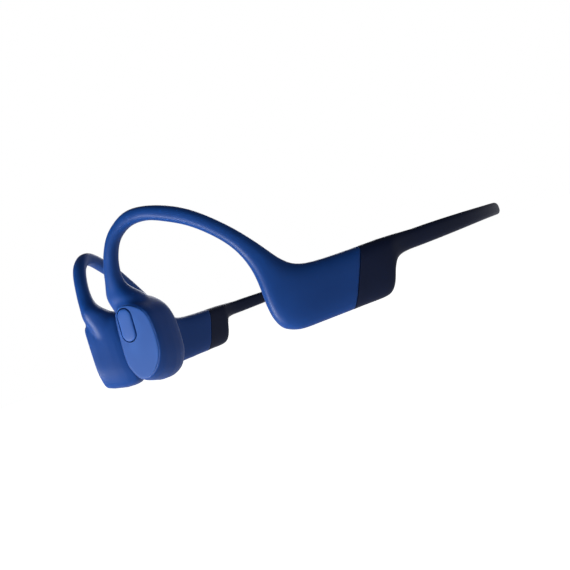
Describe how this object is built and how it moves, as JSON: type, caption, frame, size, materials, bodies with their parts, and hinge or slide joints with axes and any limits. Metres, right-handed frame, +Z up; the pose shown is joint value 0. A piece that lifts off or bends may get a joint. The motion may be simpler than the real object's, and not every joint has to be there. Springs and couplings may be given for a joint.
{
  "type": "bone conduction headphones",
  "caption": "Neckband headphones with two bone conduction transducers on ear hooks, flat pods behind the ears and a springy band behind the head.",
  "frame": {"origin": "centre of the bounding box, at the height of the surface that both transducers and both pods rest on", "axes": "+X to the wearer's left, -Y towards the wearer's face, +Y to the back of the neckband, +Z up"},
  "size_m": [0.1248, 0.1529, 0.0481],
  "materials": {
    "blue_silicone": "satin moulded silicone",
    "satin_plate": "fine satin moulded plastic",
    "pad_silicone": "matt skin-contact silicone",
    "navy_silicone": "matt moulded silicone",
    "memory_wire": "drawn titanium alloy",
    "cable_jacket": "thin cable jacket",
    "black_polymer": "moulded polymer",
    "soft_iron": "plated soft iron",
    "magnet_nickel": "nickel-plated magnet",
    "copper": "enamelled copper winding",
    "spring_steel": "rolled spring steel",
    "button_silicone": "satin button cap",
    "circuit_green": "solder mask",
    "battery_foil": "laminated foil pouch",
    "volume_rubber": "matt rubber key",
    "gold_contact": "gold-plated contact",
    "light_lens": "frosted light pipe"
  },
  "bodies": {
    "right_side": {"skin_right": "blue_silicone", "hook_wire_right": "memory_wire", "hook_cable_right": "cable_jacket", "housing_right": "blue_silicone", "cover_plate_right": "satin_plate", "contact_pad_right": "pad_silicone", "driver_frame_right": "black_polymer", "voice_coil_right": "copper", "leaf_spring_right": "spring_steel", "case_outer_right": "black_polymer", "case_inner_right": "black_polymer", "rear_sleeve_right": "navy_silicone", "neckband_right": "navy_silicone", "band_wire_right": "memory_wire", "band_cable_right": "cable_jacket", "circuit_board": "circuit_green", "volume_switches": "circuit_green", "charge_port": "black_polymer", "charge_contacts": "gold_contact", "status_light": "light_lens", "neckband_middle": "navy_silicone"},
    "left_side": {"skin_left": "blue_silicone", "hook_wire_left": "memory_wire", "hook_cable_left": "cable_jacket", "housing_left": "blue_silicone", "cover_plate_left": "satin_plate", "contact_pad_left": "pad_silicone", "driver_frame_left": "black_polymer", "voice_coil_left": "copper", "leaf_spring_left": "spring_steel", "case_outer_left": "black_polymer", "case_inner_left": "black_polymer", "rear_sleeve_left": "navy_silicone", "neckband_left": "navy_silicone", "band_wire_left": "memory_wire", "band_cable_left": "cable_jacket", "function_switch": "circuit_green", "microphone": "soft_iron", "battery": "battery_foil"},
    "function_button": {"function_button": "button_silicone"},
    "volume_up": {"volume_up": "volume_rubber"},
    "volume_down": {"volume_down": "volume_rubber"},
    "driver_mass_left": {"yoke_left": "soft_iron", "magnet_left": "magnet_nickel", "pole_plate_left": "soft_iron"},
    "driver_mass_right": {"yoke_right": "soft_iron", "magnet_right": "magnet_nickel", "pole_plate_right": "soft_iron"}
  },
  "joints": [
    {"name": "neckband_flex", "type": "hinge", "parent": "right_side", "child": "left_side", "pos_m": [0, 0.0747, 0.0145], "axis": [0, 0, 1], "range_deg": [-6, 40], "stiffness_Nm_per_rad": 0.35, "deforming": ["neckband_middle"]},
    {"name": "function_button_press", "type": "slide", "parent": "left_side", "child": "function_button", "axis": [-0.5736, 0.8192, 0], "range_m": [0, 0.0004], "stiffness_N_per_m": 1200},
    {"name": "volume_up_press", "type": "slide", "parent": "right_side", "child": "volume_up", "axis": [0, 0, 1], "range_m": [0, 0.0003], "stiffness_N_per_m": 1200},
    {"name": "volume_down_press", "type": "slide", "parent": "right_side", "child": "volume_down", "axis": [0, 0, 1], "range_m": [0, 0.0003], "stiffness_N_per_m": 1200},
    {"name": "driver_travel_left", "type": "slide", "parent": "left_side", "child": "driver_mass_left", "axis": [0.5736, -0.8192, 0], "range_m": [-0.0002, 0.0002], "stiffness_N_per_m": 2500, "deforming": ["leaf_spring_left"]},
    {"name": "driver_travel_right", "type": "slide", "parent": "right_side", "child": "driver_mass_right", "axis": [-0.5736, -0.8192, 0], "range_m": [-0.0002, 0.0002], "stiffness_N_per_m": 2500, "deforming": ["leaf_spring_right"]}
  ]
}
